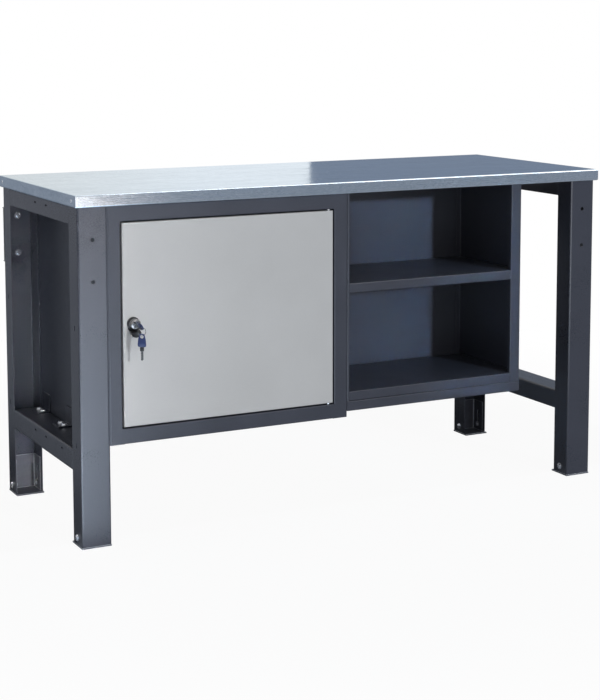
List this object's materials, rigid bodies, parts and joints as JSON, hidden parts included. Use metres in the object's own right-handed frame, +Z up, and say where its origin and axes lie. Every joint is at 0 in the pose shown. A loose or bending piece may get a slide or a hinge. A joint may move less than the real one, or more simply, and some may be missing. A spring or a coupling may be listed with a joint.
{
  "type": "workbench with cabinet",
  "caption": "Steel workshop bench with a galvanised tray worktop, channel legs on adjustable feet, a lockable inset-door cabinet and an open shelf unit.",
  "frame": {"origin": "centre of the part's box on the floor, keys included", "axes": "+X along the worktop to the right seen from the front, +Y to the rear, +Z up"},
  "size_m": [1.5, 0.6544, 0.85],
  "materials": {
    "galvanised_sheet": "hot-dip galvanised sheet, faint grain and haze",
    "board": "raw particle board",
    "dark_paint": "graphite grey powder coat, fine texture",
    "door_paint": "light grey powder coat, fine sand texture",
    "zinc": "zinc plated steel",
    "foot_steel": "dull zinc plated steel, dark",
    "lock_chrome": "polished chrome",
    "black_plastic": "black moulded plastic",
    "blue_plastic": "dark blue moulded plastic",
    "key_steel": "nickel plated steel"
  },
  "bodies": {
    "bench": {"bracket_bolt_1": "zinc", "bracket_bolt_2": "zinc", "bracket_bolt_3": "zinc", "bracket_bolt_4": "zinc", "cabinet_back": "dark_paint", "cabinet_bottom": "dark_paint", "cabinet_bracket_front": "dark_paint", "cabinet_bracket_rear": "dark_paint", "cabinet_left_side": "dark_paint", "cabinet_right_side": "dark_paint", "cabinet_shelf": "dark_paint", "cabinet_top": "dark_paint", "front_left_foot_bolt_inner": "zinc", "front_left_foot_bolt_outer": "zinc", "front_left_leg": "dark_paint", "front_right_foot_bolt_inner": "zinc", "front_right_foot_bolt_outer": "zinc", "front_right_leg": "dark_paint", "hinge_pin_bottom": "zinc", "hinge_pin_top": "zinc", "left_lower_crosspiece": "dark_paint", "left_upper_crosspiece": "dark_paint", "rear_left_foot_bolt_inner": "zinc", "rear_left_foot_bolt_outer": "zinc", "rear_left_leg": "dark_paint", "rear_right_foot_bolt_inner": "zinc", "rear_right_foot_bolt_outer": "zinc", "rear_right_leg": "dark_paint", "rear_tie_panel": "dark_paint", "right_lower_crosspiece": "dark_paint", "right_upper_crosspiece": "dark_paint", "tie_bolt_1": "zinc", "tie_bolt_2": "zinc", "tie_bolt_3": "zinc", "tie_bolt_4": "zinc", "unit_back": "dark_paint", "unit_base": "dark_paint", "unit_bottom_shelf": "dark_paint", "unit_left_side": "dark_paint", "unit_middle_shelf": "dark_paint", "unit_right_side": "dark_paint", "worktop_board": "board", "worktop_tray": "galvanised_sheet"},
    "door": {"door_panel": "door_paint", "door_stiffener": "dark_paint", "lock_pull": "black_plastic", "lock_barrel": "lock_chrome", "lock_nut": "zinc"},
    "lock_rotor": {"lock_plug": "lock_chrome", "lock_cam": "zinc", "key_blade": "key_steel", "key_bow": "blue_plastic"},
    "key_ring": {"key_ring": "key_steel"},
    "spare_key": {"spare_key_blade": "key_steel", "spare_key_bow": "blue_plastic"},
    "front_left_foot": {"front_left_foot": "foot_steel"},
    "front_right_foot": {"front_right_foot": "foot_steel"},
    "rear_left_foot": {"rear_left_foot": "foot_steel"},
    "rear_right_foot": {"rear_right_foot": "foot_steel"}
  },
  "joints": [
    {"name": "door_hinge", "type": "hinge", "parent": "bench", "child": "door", "pos_m": [-0.0757, -0.25527, 0.5372], "axis": [0, 0, 1], "range_deg": [0, 115]},
    {"name": "lock_turn", "type": "hinge", "parent": "door", "child": "lock_rotor", "pos_m": [-0.6069, -0.28387, 0.5372], "axis": [0, 1, 0], "range_deg": [0, 90]},
    {"name": "key_ring_swing", "type": "hinge", "parent": "lock_rotor", "child": "key_ring", "pos_m": [-0.6069, -0.31917, 0.5355], "axis": [1, 0, 0], "range_deg": [-45, 10]},
    {"name": "spare_key_swing", "type": "hinge", "parent": "key_ring", "child": "spare_key", "pos_m": [-0.6069, -0.31917, 0.5155], "axis": [1, 0, 0], "range_deg": [-40, 8]},
    {"name": "front_left_foot_slide", "type": "slide", "parent": "bench", "child": "front_left_foot", "axis": [0, 0, -1], "range_m": [0, 0.04]},
    {"name": "front_right_foot_slide", "type": "slide", "parent": "bench", "child": "front_right_foot", "axis": [0, 0, -1], "range_m": [0, 0.04]},
    {"name": "rear_left_foot_slide", "type": "slide", "parent": "bench", "child": "rear_left_foot", "axis": [0, 0, -1], "range_m": [0, 0.04]},
    {"name": "rear_right_foot_slide", "type": "slide", "parent": "bench", "child": "rear_right_foot", "axis": [0, 0, -1], "range_m": [0, 0.04]}
  ]
}
